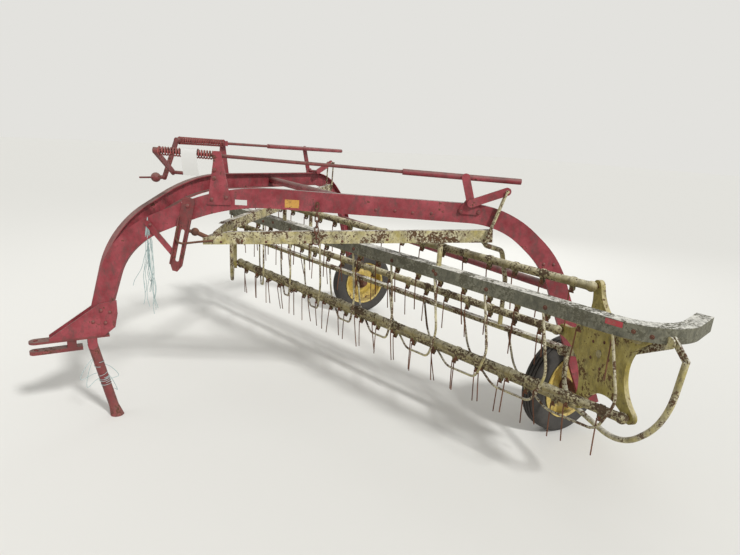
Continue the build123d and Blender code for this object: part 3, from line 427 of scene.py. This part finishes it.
for name, side, front_s, block_s, rear_s, front_z, rear_z in SCREW_ROWS:
    slope = (rear_z - front_z) / (rear_s - front_s)
    start = arch(side, front_s + SEAT_BACK, front_z + slope * SEAT_BACK, SCREW_OFF)
    end = arch(side, block_s, front_z + slope * (block_s - front_s), SCREW_OFF)
    reach = np.linalg.norm(end - start) - BLOCK_HALF - WIRE_RADIUS
    axis = (end - start) / np.linalg.norm(end - start)
    turns = round(reach / WIRE_PITCH)
    # a helix: the centre moves along the screw while the radius turns round it
    turn = np.linspace(0, turns * 2 * math.pi, turns * POINTS_A_TURN)
    across = outward(side)
    over = np.cross(axis, across)
    coil = (start + axis * WIRE_RADIUS + axis * (turn / turn[-1] * (reach - WIRE_RADIUS))[:, None]
            + COIL_RADIUS * (np.cos(turn)[:, None] * across + np.sin(turn)[:, None] * over))
    seat_profile = [(0, 0), (SEAT_RADIUS, 0), (SEAT_RADIUS, SEAT_THICKNESS), (0, SEAT_THICKNESS)]
    seat = turned(seat_profile, start - axis * SEAT_THICKNESS, axis, sides=20)
    parts = [(*wire(coil, WIRE_RADIUS, sides=8), 0), (*seat, 0)]
    piece("spring_coil_" + name, parts, [spring_steel], "frame", ["lift_spring_" + name])

# Card tag and label: a blank tag of white card hangs bent over the left spring, and a small
# blank white sticker is on the left arch's web.
TAG_FRONT_S, TAG_WIDTH, TAG_DROP, TAG_THICKNESS = 578, 88, 122, 0.6
TAG_BEND, TAG_HANG_OFF, TAG_DRIFT, TAG_CURL = 28, 8, 12, 5
# the card's thickness where it lies flat over the spring
TAG_CROWN = 0.2
SPRING_Z = 1669
LABEL_S, LABEL_Z, LABEL_THICKNESS, LABEL_LIFT = (877.0, 946.0), (1394, 1424), 0.5, 0.2
# Uncoated card: matt white with no gloss at all, kept a little grey so that it doesn't clip.
card = new_material("matt white card")
card_skin = add(card, "ShaderNodeBsdfPrincipled", inputs={"Base Color": linear("#CBCAC6"), "Roughness": 0.8})
add(card, "ShaderNodeOutputMaterial", [(0, card_skin, 0)])


def sheet(rows, thickness):
    """A thin closed sheet: a grid of points and the same grid moved by the vector thickness, run
    round as one loop of columns, with a strip of quads over each end."""
    front = np.asarray(rows, float)
    back = front + np.asarray(thickness)
    n, m = front.shape[:2]
    loop = np.concatenate([front, back[:, ::-1]], 1)
    cap = np.array([[j, j + 1, 2 * m - 2 - j, 2 * m - 1 - j] for j in range(m - 1)])
    return loop.reshape(-1, 3), np.concatenate([grid_faces(n, 2 * m), cap, cap + (n - 1) * 2 * m])


tag_s = TAG_FRONT_S + np.array([0.0, 0.5, 1.0]) * TAG_WIDTH
rows = [arch(1, tag_s, SPRING_Z + TAG_BEND * math.cos(a), SCREW_OFF + TAG_BEND * math.sin(a))
        for a in np.linspace(-0.5 * math.pi, 0.5 * math.pi, 7)]
rows += [arch(1, tag_s + TAG_DRIFT * t, SPRING_Z - TAG_DROP * t, TAG_HANG_OFF + TAG_CURL * math.sin(3 * t))
         for t in (0.25, 0.5, 0.75, 1.0)]
tag_wall = outward(1) * TAG_THICKNESS + np.array([0, 0, TAG_CROWN])
piece("card_tag", [(*sheet(rows, tag_wall), 0)], [card], "frame")
label_rows = [arch(1, np.array(LABEL_S), z, LABEL_LIFT) for z in LABEL_Z]
piece("blank_label", [(*sheet(label_rows, outward(1) * LABEL_THICKNESS), 0)], [card], "frame")

# Faded sticker field on the left arch: vinyl film stuck to the web, a plain worn patch of
# orange-yellow, blank.
FILM_S, FILM_Z, FILM_THICKNESS = (1162.0, 1244.0), (1394, 1440), 0.4
# Cast vinyl bleached by light: dull orange-yellow that browns where it has cracked.
faded_film = old_paint("faded yellow vinyl", "#B8863A", "#C79A4C", "#B48C58", "#6B4630", 0.5, 0.5, fleck_mm=9)
film_rows = [arch(1, np.array(FILM_S), z, LABEL_LIFT) for z in FILM_Z]
piece("worn_sticker", [(*sheet(film_rows, outward(1) * FILM_THICKNESS), 0)], [faded_film], "frame")

# Basket: draft arms, posts, rail, strippers and guards, welded and bolted from channel, angle,
# tube and rod. They are brushed with pale yellow enamel. The front beam, a bent channel, has
# grown grey lichen on its top, and its sides carry painted shade.
CREAM_FRESH, CREAM_BLEACHED, LICHEN, MUD = "#ADA062", "#D2CCB2", "#D6D3C6", "#4B4130"
# Enamel bleached to cream: pale and dry, broken by dark brown islands where it has flaked.
cream_enamel = old_paint("flaking cream-yellow enamel", CREAM_FRESH, CREAM_BLEACHED, LICHEN, MUD, 0.82, 1.25,
                         fleck_mm=9, rough=0.7, rust=("#33261A", "#6A4C30"))
paint([
    "draft_arm_left", "draft_arm_right", "beam_post_left", "beam_post_right", "rail_post_right",
    "rail_hanger_left", "rear_rail", "end_frame_left", "end_frame_right", "end_guard_left",
    "end_guard_right", "lift_link_left", "lift_link_right", "strippers",
], cream_enamel)
# The same enamel under lichen: grey-green sides darkened as painted shade, and a top crusted almost white
# with lichen, quite dull.
lichen_enamel_painted_shade = old_paint("lichen-grown enamel with painted shade", "#636152", "#8B8975", "#E0DED4", "#34342D", 0.85, 1.2,
                          fleck_mm=11, rough=0.85, rust=("#34322A", "#6E6B58"))
paint(["front_beam"], lichen_enamel_painted_shade)

# Basket fasteners: a rusty hexagon nut on the beam's face holds each stripper, hexagon bolts hold
# the beam, and rusted bolt heads run along the left draft arm's web.
BAR_TURN, HEAD_TURN, BAR_RISE = math.radians(15.04), math.radians(17.46), 0.035
BAR = np.array([math.sin(BAR_TURN), -math.cos(BAR_TURN), BAR_RISE])
BAR /= np.linalg.norm(BAR)
FORWARD = np.array([-BAR[1], BAR[0], 0.0]) / math.hypot(BAR[0], BAR[1])
UP = np.array([0.0, 0.0, 1.0])
LEFT_HEAD = np.array([427.0, 1839.0, 776.0])


def basket(t, f, z):
    """Millimetres of a point t along the bars, f forward of the reel's centre line, z above it:
    left head's centre + t along the bars + f forward + z up."""
    return LEFT_HEAD + BAR * t + FORWARD * f + UP * z


BEAM_FACE = 246
STRIPPER_START, STRIPPER_PITCH, STRIPPER_COUNT = 215, 350, 9
# a stripper lies parallel to the heads, so it meets the beam this much nearer to the left end
STRIPPER_BACK, CLIP_Z, CLIP_RADIUS = 384, 248, 9
BEAM_BOLTS, BEAM_BOLT_Z, BEAM_BOLT_RADIUS = (-250, -330, 900, 1700, 2500), 262, 8
ARM_BOLTS = (
    (745, 1178), (797, 1175), (919, 1187), (1058, 1189),
    (1284, 1201), (1500, 1216), (1760, 1240), (2100, 1270),
)
ARM_FACE, ARM_BOLT_RADIUS = 9.8, 8
# Bare hot-rolled steel: matt dark brown rust with a lighter, orange bloom.
rust_steel = old_paint("bare rusty steel", "#4A2C20", "#6A4230", "#75503C", GRIME, 0.6, 0.5,
                       fleck_mm=9, rough=0.85)
clips = []
# the first stripper has none, because the red field covers its place
for index in range(1, STRIPPER_COUNT):
    spot = basket(STRIPPER_START + STRIPPER_PITCH * index - STRIPPER_BACK, BEAM_FACE, CLIP_Z)
    clips += fastener("hex", spot, FORWARD, CLIP_RADIUS)
for s, z in ARM_BOLTS:
    clips += fastener("round", arch(1, s, z, ARM_FACE), outward(1), ARM_BOLT_RADIUS)
for t in BEAM_BOLTS:
    clips += fastener("hex", basket(t, BEAM_FACE, BEAM_BOLT_Z), FORWARD, BEAM_BOLT_RADIUS)
piece("basket_bolts", clips, [rust_steel], "frame")

# Red field on the beam's near end: a plain rectangle of faded red paint on the beam's face, blank.
FIELD_T, FIELD_Z, FIELD_THICKNESS = (-200, -120), (262, 289), 0.4
# Brushed red enamel, bleached: a dull red patch that stands out from the grey beam.
red_field = old_paint("faded red field", "#A32630", "#B5444A", "#A8686A", "#7A6E5C", 0.35, 0.6, fleck_mm=10)
field_rows = [np.stack([basket(t, BEAM_FACE + LABEL_LIFT, z) for t in FIELD_T]) for z in FIELD_Z]
piece("red_field", [(*sheet(field_rows, FORWARD * FIELD_THICKNESS), 0)], [red_field], "frame")

# Reel heads: five-lobed stars pressed from sheet steel with a rolled rim, riveted round the hub.
# Each turns about its own level axis, which the tooth bars cross at a slant.
ACROSS = np.array([math.sin(HEAD_TURN), math.cos(HEAD_TURN), 0.0])
SPIN = np.array([math.cos(HEAD_TURN), -math.sin(HEAD_TURN), 0.0])
BAR_LENGTH, BAR_COUNT, CRANK_RADIUS, FIRST_ANGLE = 3350, 5, 355, -37.2
RIGHT_HEAD = LEFT_HEAD + BAR * BAR_LENGTH
HEAD_FACE, STUD_CIRCLE, STUD_RADIUS = 35, 78, 9
HEADS = (("left", LEFT_HEAD, -1, "head_left"), ("right", RIGHT_HEAD, 1, "head_right"))
# Enamel on pressed sheet: a deeper yellow, darkened as painted shade for the shadow of the basket over the
# heads, with large brown stains.
star_enamel_painted_shade = old_paint("yellow enamel on pressed steel with painted shade", "#938438", "#B3A660", "#BDB28A", "#4A3E24",
                        0.55, 1.1, fleck_mm=16, rust=("#38281A", "#755732"))
paint(["reel_head_left", "reel_head_right"], star_enamel_painted_shade)


def on_head(centre, radius, degrees):
    """A point on a circle in a head's plane: centre + radius * (cos * across + sin * up)."""
    a = math.radians(degrees)
    return centre + radius * (math.cos(a) * ACROSS + math.sin(a) * UP)


for name, centre, way, body in HEADS:
    studs = []
    for k in range(BAR_COUNT):
        stud = on_head(centre, STUD_CIRCLE, FIRST_ANGLE + (k + 0.5) * 360 / BAR_COUNT)
        studs += fastener("round", stud + SPIN * way * HEAD_FACE, -SPIN * way, STUD_RADIUS)
    piece("head_studs_" + name, studs, [rust_steel], body)

# Hook: a round steel rod bent cold, from the left draft arm's nose up through the hanger's slot.
# It is bare and rusty.
HOOK_CORNERS = np.array([
    [554, 1258], [541, 1215], [539, 1180], [552, 1160], [573, 1155], [620, 1162], [673, 1171], [752, 1181]])
HOOK_OFF, HOOK_RADIUS, HOOK_POINTS = 17, 6.5, 50
SOFTEN = np.array([0.1, 0.2, 0.4, 0.2, 0.1])
steps = np.linspace(0, len(HOOK_CORNERS) - 1, HOOK_POINTS)


def softened(column):
    """One coordinate of the hook: read off between its corners, then averaged over five points
    with the weights of SOFTEN, apart from its two ends."""
    run = np.interp(steps, range(len(HOOK_CORNERS)), HOOK_CORNERS[:, column])
    return np.concatenate([run[:2], np.convolve(run, SOFTEN, "valid"), run[-2:]])


hook_path = arch(1, softened(0), softened(1), HOOK_OFF)
piece("slot_hook", [(*wire(hook_path, HOOK_RADIUS, sides=10), 0)], [rust_steel], "frame")

# Tooth bars: a steel tube with round forged ends and turned journals. On it sit pressed clamps
# that each hold one coiled spring tooth of drawn wire by a bolt.
BAR_RADIUS, BALL_RADIUS, BALL_SWEEP, BALL_BACK = 24, 30, 2.15, 26
JOURNAL_RADIUS, JOURNAL_LENGTH, JOURNAL_CHAMFER, JOURNAL_TIP = 11.95, 65, 2, 9
TOOTH_START, TOOTH_PITCH, TOOTH_COUNT, TOOTH_REACH, TOOTH_WIRE = 100, 175, 19, 255, 3.6
TOOTH_COIL, COIL_HALF, COIL_DROP, LEG_SWEEP = 15.5, 9, 20, 6
# Teeth lean at random below the stiff top 60 mm, as slopes, and three on each bar are bent more.
STIFF_DROP, USUAL_LEAN, BENT_LEAN, BENT_COUNT = 60, 0.05, 0.16, 3
SADDLE = [(0, -13), (27, -13), (28.5, -11), (28.5, 11), (27, 13), (0, 13)]
EAR = np.array([[-12, -20], [12, -20], [13, -40], [8, -47], [-8, -47], [-13, -40]], float)
EAR_HALF, EAR_CAP = 12.0, np.array([[0, 1, 4, 5], [1, 2, 3, 4]])
ear_faces = np.concatenate([grid_faces(2, len(EAR)), EAR_CAP, EAR_CAP + len(EAR)])
EAR_BOLT_OUT, EAR_BOLT_DROP, EAR_BOLT_RADIUS = 12.5, 36, 6.5
# Brushed enamel that hay has worn through: cream on brown, darkened further as painted shade, with dark
# islands of rust.
bar_enamel_painted_shade = old_paint("cream enamel worn by hay with painted shade", "#85784A", "#A89E74", "#CFC8A8", MUD, 0.82, 1.1,
                       fleck_mm=10, rough=0.7, rust=("#33271C", "#5F4B33"))
# Drawn spring wire scoured by hay and rusted again: an even warm brown.
tooth_steel = old_paint("rusty spring teeth", "#553322", "#7A4D31", "#7E5C42", "#3A271C", 0.4, 0.4,
                        fleck_mm=9, rough=0.8)
coil_turn = np.linspace(-0.5 * math.pi, 4.0 * math.pi, 25)
coil_centre = -(BAR_RADIUS + COIL_DROP)
coil_local = np.stack([
    np.linspace(-COIL_HALF, COIL_HALF, len(coil_turn)),
    TOOTH_COIL * np.cos(coil_turn),
    coil_centre + TOOTH_COIL * np.sin(coil_turn),
], -1)
drop = np.linspace(0.0, 1.0, 7)[1:]
leg_local = np.stack([
    np.full(len(drop), COIL_HALF),
    TOOTH_COIL - LEG_SWEEP * drop ** 2,
    coil_centre - drop * (TOOTH_REACH - BAR_RADIUS - COIL_DROP),
], -1)
# one tooth's path: along the bar, forward and up from the bar's centre
tooth_local = np.concatenate([coil_local, leg_local])
depth = np.clip(-tooth_local[:, 2] - STIFF_DROP, 0, None)
ball = [(BALL_RADIUS * math.sin(q), -BALL_RADIUS * math.cos(q)) for q in np.linspace(0, BALL_SWEEP, 8)]
tube_profile = ball + [(BAR_RADIUS, BALL_BACK), (BAR_RADIUS, BAR_LENGTH - BALL_BACK)]
tube_profile += [(r, BAR_LENGTH - h) for r, h in reversed(ball)]
journal_profile = [
    (0, 0), (JOURNAL_RADIUS, 0), (JOURNAL_RADIUS, JOURNAL_LENGTH - JOURNAL_CHAMFER),
    (JOURNAL_TIP, JOURNAL_LENGTH), (0, JOURNAL_LENGTH),
]
chance = np.random.default_rng(7)
for k in range(BAR_COUNT):
    start = on_head(LEFT_HEAD, CRANK_RADIUS, FIRST_ANGLE + k * 360 / BAR_COUNT)
    end = start + BAR * BAR_LENGTH
    parts = [(*turned(tube_profile, start, BAR, sides=20), 0)]
    for tip, way in ((start, -1), (end, 1)):
        parts.append((*turned(journal_profile, tip, SPIN * way, sides=16), 1))
    lean = chance.normal(0, USUAL_LEAN, (TOOTH_COUNT, 2))
    lean[chance.integers(0, TOOTH_COUNT, BENT_COUNT)] += chance.normal(0, BENT_LEAN, (BENT_COUNT, 2))
    for tooth in range(TOOTH_COUNT):
        centre = start + BAR * (TOOTH_START + TOOTH_PITCH * tooth)
        path = (centre + tooth_local[:, :1] * BAR
                + (tooth_local[:, 1:2] + depth[:, None] * lean[tooth, 0]) * FORWARD
                + tooth_local[:, 2:] * UP + depth[:, None] * lean[tooth, 1] * BAR)
        parts.append((*wire(path, TOOTH_WIRE, sides=5), 1))
        parts.append((*turned(SADDLE, centre, BAR, sides=14), 0))
        ends = np.array([-EAR_HALF, EAR_HALF])[:, None, None] * BAR
        ear = centre + ends + EAR[None, :, :1] * FORWARD + EAR[None, :, 1:] * UP
        parts.append((ear.reshape(-1, 3), ear_faces, 0))
        bolt_place = centre + FORWARD * EAR_BOLT_OUT - UP * EAR_BOLT_DROP
        bolt_head = fastener("hex", bolt_place, FORWARD, EAR_BOLT_RADIUS)[0]
        parts.append((*bolt_head[:2], 1))
    piece("dressed_tooth_bar_%d" % (k + 1), parts, [bar_enamel_painted_shade, tooth_steel], "bar_%d" % (k + 1),
          ["tooth_bar_%d" % (k + 1)])

# Wheels: moulded implement tyres with straight ribs, on pressed yellow rims that five nuts hold
# to each hub. Hubs, spindles, the draft pivot and the chain are bare steel.
WHEEL_Y, AXLE_Z = 1345.0, 322.5
NUT_COUNT, NUT_CIRCLE, NUT_RADIUS, HUB_FACE = 5, 56, 9, 6.0
# half of the tyre's section as (radius, distance across), from the bead over the ribs
TYRE_HALF = [
    (204, -50), (212, -54), (236, -64), (262, -67), (284, -65.5), (300, -61.5), (313, -52), (318, -44),
    (320.5, -38), (320.8, -29), (312, -27), (312, -22), (321.6, -20), (322.2, -4.5), (313, -2.5),
]
BEAD_RADIUS, BEAD_HALF = 204, 30
RUBBER_MM, RUBBER_RELIEF_M = 33.333, 0.001
# Moulded rubber aged outdoors: near black with a dry grey bloom in clouds of 33 mm, no shine.
rubber = new_material("aged tyre rubber")
rubber_place = add(rubber, "ShaderNodeTexCoord")
rubber_noise = add(rubber, "ShaderNodeTexNoise", [("Vector", rubber_place, "Object")],
                   {"Scale": 1000 / RUBBER_MM, "Detail": 8.0, "Roughness": 0.7})
rubber_tint = add(rubber, "ShaderNodeMix", [(0, rubber_noise, "Fac")],
                  {6: linear("#1C1B1A"), 7: linear("#4B4742")}, data_type="RGBA")
rubber_bump = add(rubber, "ShaderNodeBump", [("Height", rubber_noise, "Fac")],
                  {"Strength": 0.25, "Distance": RUBBER_RELIEF_M})
rubber_skin = add(rubber, "ShaderNodeBsdfPrincipled",
                  [("Base Color", rubber_tint, 2), ("Normal", rubber_bump, 0)], {"Roughness": 0.82})
add(rubber, "ShaderNodeOutputMaterial", [(0, rubber_skin, 0)])
# Sprayed enamel, chalky: the strongest yellow on the rake, with mud-brown stains.
rim_enamel = old_paint("yellow rim enamel", "#AE9034", "#C7B263", "#B8A671", MUD, 0.5, 0.8, fleck_mm=20)
paint(["rim_left", "rim_right"], rim_enamel)
paint(["hub_left", "hub_right", "spindle_left", "spindle_right", "draft_pivot", "chain"], rust_steel)
tyre_profile = TYRE_HALF + [(r, -across) for r, across in reversed(TYRE_HALF)]
tyre_profile += [(BEAD_RADIUS, BEAD_HALF), (BEAD_RADIUS, -BEAD_HALF), TYRE_HALF[0]]
for name, side in (("left", 1), ("right", -1)):
    centre = np.array([0.0, side * WHEEL_Y, AXLE_Z])
    tyre = turned(tyre_profile, centre, (0, side, 0), sides=72)
    piece("ribbed_tyre_" + name, [(*tyre, 0)], [rubber], "wheel_" + name, ["tyre_" + name])
    nuts = []
    for k in range(NUT_COUNT):
        a = 2 * math.pi * k / NUT_COUNT
        nut = centre + np.array([NUT_CIRCLE * math.cos(a), -side * HUB_FACE, NUT_CIRCLE * math.sin(a)])
        nuts += fastener("hex", nut, (0, -side, 0), NUT_RADIUS)
    piece("wheel_nuts_" + name, nuts, [rust_steel], "wheel_" + name)

# Baler twine on the arch: loose lengths of plastic twine, extruded and twisted, are thrown over
# the left arch's front leg and hang from its lower edge, each with a drift and a wave of its own.
TWINE_COUNT, TWINE_RADIUS = 13, 1.7
TWINE_SHORTEST, TWINE_SPREAD = 230, 210
OVER_S, OVER_Z, OVER_FALL = 374, 1296, 128
PROUD, PROUD_SPREAD = 2.5, 2
EDGE_S, EDGE_SPREAD, EDGE_Z = 352, 34, 1150
INSIDE_OFF, INSIDE_SPREAD = -4, 26
DRIFT_S, WAVE_S, DRIFT_OFF, WAVE_OFF = 34, 12, 16, 7
# radians of wave over a whole fall
WAVE_S_ANGLE, WAVE_OFF_ANGLE = 9, 8
TWINE_MM = 8.3333
# Extruded plastic bleached by light: pale blue grey, streaked every 8 mm, with a faint sheen.
twine = new_material("weathered polypropylene twine")
twine_place = add(twine, "ShaderNodeTexCoord")
twine_noise = add(twine, "ShaderNodeTexNoise", [("Vector", twine_place, "Object")],
                  {"Scale": 1000 / TWINE_MM, "Detail": 3.0})
twine_tint = add(twine, "ShaderNodeMix", [(0, twine_noise, "Fac")],
                 {6: linear("#71898A"), 7: linear("#C3D3CF")}, data_type="RGBA")
twine_skin = add(twine, "ShaderNodeBsdfPrincipled", [("Base Color", twine_tint, 2)], {"Roughness": 0.75})
add(twine, "ShaderNodeOutputMaterial", [(0, twine_skin, 0)])
strands = []
fall = np.linspace(0, 1, 22)
over_web = np.linspace(0, 1, 5)[:-1]
for k in range(TWINE_COUNT):
    length, lean_s, lean_off, wave = TWINE_SHORTEST + TWINE_SPREAD * chance.random(), *chance.normal(0, 1, 3)
    top = EDGE_S + EDGE_SPREAD * chance.random()
    # over the web, just proud of it, then down: drift times the fall, plus a wave that widens
    web_path = arch(1, OVER_S - (OVER_S - top) * over_web, OVER_Z - OVER_FALL * over_web,
                    PROUD + PROUD_SPREAD * chance.random())
    hang_s = top + (DRIFT_S * lean_s + WAVE_S * np.sin(WAVE_S_ANGLE * fall + k)) * fall
    hang_off = (INSIDE_OFF - INSIDE_SPREAD * chance.random()
                + (DRIFT_OFF * lean_off + WAVE_OFF * np.cos(WAVE_OFF_ANGLE * fall + 2 * wave)) * fall)
    hang = arch(1, hang_s, EDGE_Z - length * fall, hang_off)
    strands.append((*wire(np.concatenate([web_path, hang]), TWINE_RADIUS, sides=5), 0))
piece("hanging_twine", strands, [twine], "frame")

# Baler twine on the parking stand: the same twine tied round the tube in four wraps, with four
# slack loops that hang out from it.
STAND_PIVOT, STAND_FOOT, STAND_RADIUS = np.array([2655.0, 0, 498]), np.array([2544.0, 0, 0]), 28
WRAP_STANDS_OFF, LOOP_STANDS_OFF, POINTS_A_WRAP = 2, 1, 26
stand_way = (STAND_FOOT - STAND_PIVOT) / np.linalg.norm(STAND_FOOT - STAND_PIVOT)
stand_side = np.array([0.0, 1.0, 0.0])
stand_front = np.cross(stand_side, stand_way)
# a wrap: distance down the stand, turns, and how much further down it ends, or up below 0
WRAPS = ((120, 1.0, 30), (228, 2.3, 26), (238, 1.2, -38), (262, 1.4, 22))
# a slack loop: where it leaves and comes back down the stand, how far it swings out, how it sags
SLACK_LOOPS = ((96, 196, 92, 60), (104, 236, 64, 96), (150, 262, -70, 40), (228, 330, -38, 62))
SLACK_WAY, SLACK_RADIUS = np.array([0.93, 0.37, 0.0]), 1.9
loops = []
for reach, turns, climb in WRAPS:
    round_stand = np.linspace(0, turns * 2 * math.pi, int(POINTS_A_WRAP * turns))
    along = reach + climb * round_stand / round_stand[-1]
    ring = np.cos(round_stand)[:, None] * stand_side + np.sin(round_stand)[:, None] * stand_front
    wrap = STAND_PIVOT + stand_way * along[:, None] + (STAND_RADIUS + WRAP_STANDS_OFF) * ring
    loops.append((*wire(wrap, TWINE_RADIUS, sides=5), 0))
slack = np.linspace(0, 1, 40)
bulge = np.sin(math.pi * slack)
for reach, back, out, sag in SLACK_LOOPS:
    tied = STAND_PIVOT + stand_way * (reach + (back - reach) * slack)[:, None]
    swing = SLACK_WAY * (math.copysign(STAND_RADIUS + LOOP_STANDS_OFF, out) + out * bulge)[:, None]
    loops.append((*wire(tied + swing - UP * (sag * bulge ** 1.5)[:, None], SLACK_RADIUS, sides=5), 0))
piece("stand_twine", loops, [twine], "stand")
